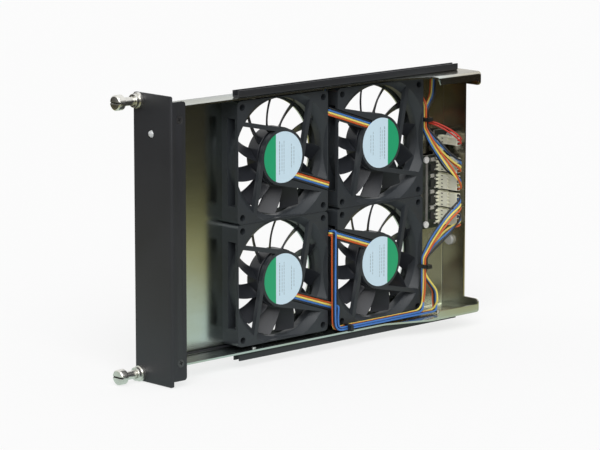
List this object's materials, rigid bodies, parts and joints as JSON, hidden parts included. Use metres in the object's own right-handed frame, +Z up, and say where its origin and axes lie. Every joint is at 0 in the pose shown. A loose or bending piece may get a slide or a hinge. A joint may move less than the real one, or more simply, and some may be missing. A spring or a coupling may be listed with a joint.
{
  "type": "fan module",
  "caption": "Plug-in rack fan module: black front panel with captive thumbscrews, plated sheet tray, axial fans, guide rails, wiring and a connector board.",
  "frame": {"origin": "on the seating plane behind the front panel, at mid depth and mid height", "axes": "+X from the panel to the rear connector, +Y out through the back plate, +Z up"},
  "size_m": [0.3038, 0.0371, 0.184],
  "materials": {
    "plated_steel": "bright zinc-plated sheet with a faint rolling grain",
    "black_paint": "satin black paint with a fine texture",
    "nickel": "turned and nickel-plated",
    "black_screws": "black oxide",
    "zinc_steel": "zinc-plated",
    "spring_steel": "bright drawn wire",
    "fan_black": "moulded, satin",
    "motor_iron": "laminated core and ferrite",
    "motor_steel": "drawn and ground",
    "label_film": "printed film, two plain fields of colour",
    "board": "dark solder mask",
    "white_nylon": "moulded nylon",
    "connector_ivory": "moulded nylon",
    "chip_black": "moulded epoxy",
    "connector_black": "moulded",
    "led_clear": "water-clear epoxy",
    "wire_sleeve": "smooth sleeves in four colours",
    "tie_black": "moulded nylon"
  },
  "bodies": {
    "module": {"bearings_1": "motor_steel", "bearings_2": "motor_steel", "bearings_3": "motor_steel", "bearings_4": "motor_steel", "board_components": "chip_black", "board_headers": "connector_ivory", "board_screws": "white_nylon", "board_standoffs": "white_nylon", "cable_ties": "tie_black", "circuit_board": "board", "docking_bolts": "zinc_steel", "docking_connector": "connector_black", "driver_boards": "board", "fan_frame_1": "fan_black", "fan_frame_2": "fan_black", "fan_frame_3": "fan_black", "fan_frame_4": "fan_black", "fan_labels": "label_film", "fan_lead_1": "wire_sleeve", "fan_lead_2": "wire_sleeve", "fan_lead_3": "wire_sleeve", "fan_lead_4": "wire_sleeve", "fan_screws": "zinc_steel", "ferrule_lower": "nickel", "ferrule_upper": "nickel", "front_panel": "black_paint", "lead_plugs": "connector_ivory", "led_holder": "connector_black", "led_lead": "wire_sleeve", "led_lens": "led_clear", "lower_rail": "black_paint", "panel_nuts": "zinc_steel", "panel_screws": "black_screws", "rail_rivets": "zinc_steel", "stator_1": "motor_iron", "stator_2": "motor_iron", "stator_3": "motor_iron", "stator_4": "motor_iron", "tray": "plated_steel", "upper_rail": "black_paint"},
    "rotor_1": {"impeller_1": "fan_black", "rotor_cup_1": "motor_steel", "magnet_1": "motor_iron", "shaft_1": "motor_steel"},
    "rotor_2": {"impeller_2": "fan_black", "rotor_cup_2": "motor_steel", "magnet_2": "motor_iron", "shaft_2": "motor_steel"},
    "rotor_3": {"impeller_3": "fan_black", "rotor_cup_3": "motor_steel", "magnet_3": "motor_iron", "shaft_3": "motor_steel"},
    "rotor_4": {"impeller_4": "fan_black", "rotor_cup_4": "motor_steel", "magnet_4": "motor_iron", "shaft_4": "motor_steel"},
    "screw_carrier_upper": {"spring_upper": "spring_steel"},
    "screw_upper": {"thumbscrew_upper": "nickel"},
    "screw_carrier_lower": {"spring_lower": "spring_steel"},
    "screw_lower": {"thumbscrew_lower": "nickel"}
  },
  "joints": [
    {"name": "fan_1_spin", "type": "hinge", "parent": "module", "child": "rotor_1", "pos_m": [0.1112, 0.0089, 0.0401], "axis": [0, 1, 0], "continuous": true},
    {"name": "fan_2_spin", "type": "hinge", "parent": "module", "child": "rotor_2", "pos_m": [0.2, 0.0089, 0.0401], "axis": [0, 1, 0], "continuous": true},
    {"name": "fan_3_spin", "type": "hinge", "parent": "module", "child": "rotor_3", "pos_m": [0.1112, 0.0089, -0.0401], "axis": [0, 1, 0], "continuous": true},
    {"name": "fan_4_spin", "type": "hinge", "parent": "module", "child": "rotor_4", "pos_m": [0.2, 0.0089, -0.0401], "axis": [0, 1, 0], "continuous": true},
    {"name": "screw_push_upper", "type": "slide", "parent": "module", "child": "screw_carrier_upper", "axis": [1, 0, 0], "range_m": [0, 0.005], "stiffness_N_per_m": 300, "springref_m": -0.002, "deforming": ["spring_upper"]},
    {"name": "screw_turn_upper", "type": "hinge", "parent": "screw_carrier_upper", "child": "screw_upper", "pos_m": [0, 0.0126, 0.087], "axis": [1, 0, 0], "continuous": true},
    {"name": "screw_push_lower", "type": "slide", "parent": "module", "child": "screw_carrier_lower", "axis": [1, 0, 0], "range_m": [0, 0.005], "stiffness_N_per_m": 300, "springref_m": -0.002, "deforming": ["spring_lower"]},
    {"name": "screw_turn_lower", "type": "hinge", "parent": "screw_carrier_lower", "child": "screw_lower", "pos_m": [0, 0.0126, -0.087], "axis": [1, 0, 0], "continuous": true}
  ]
}
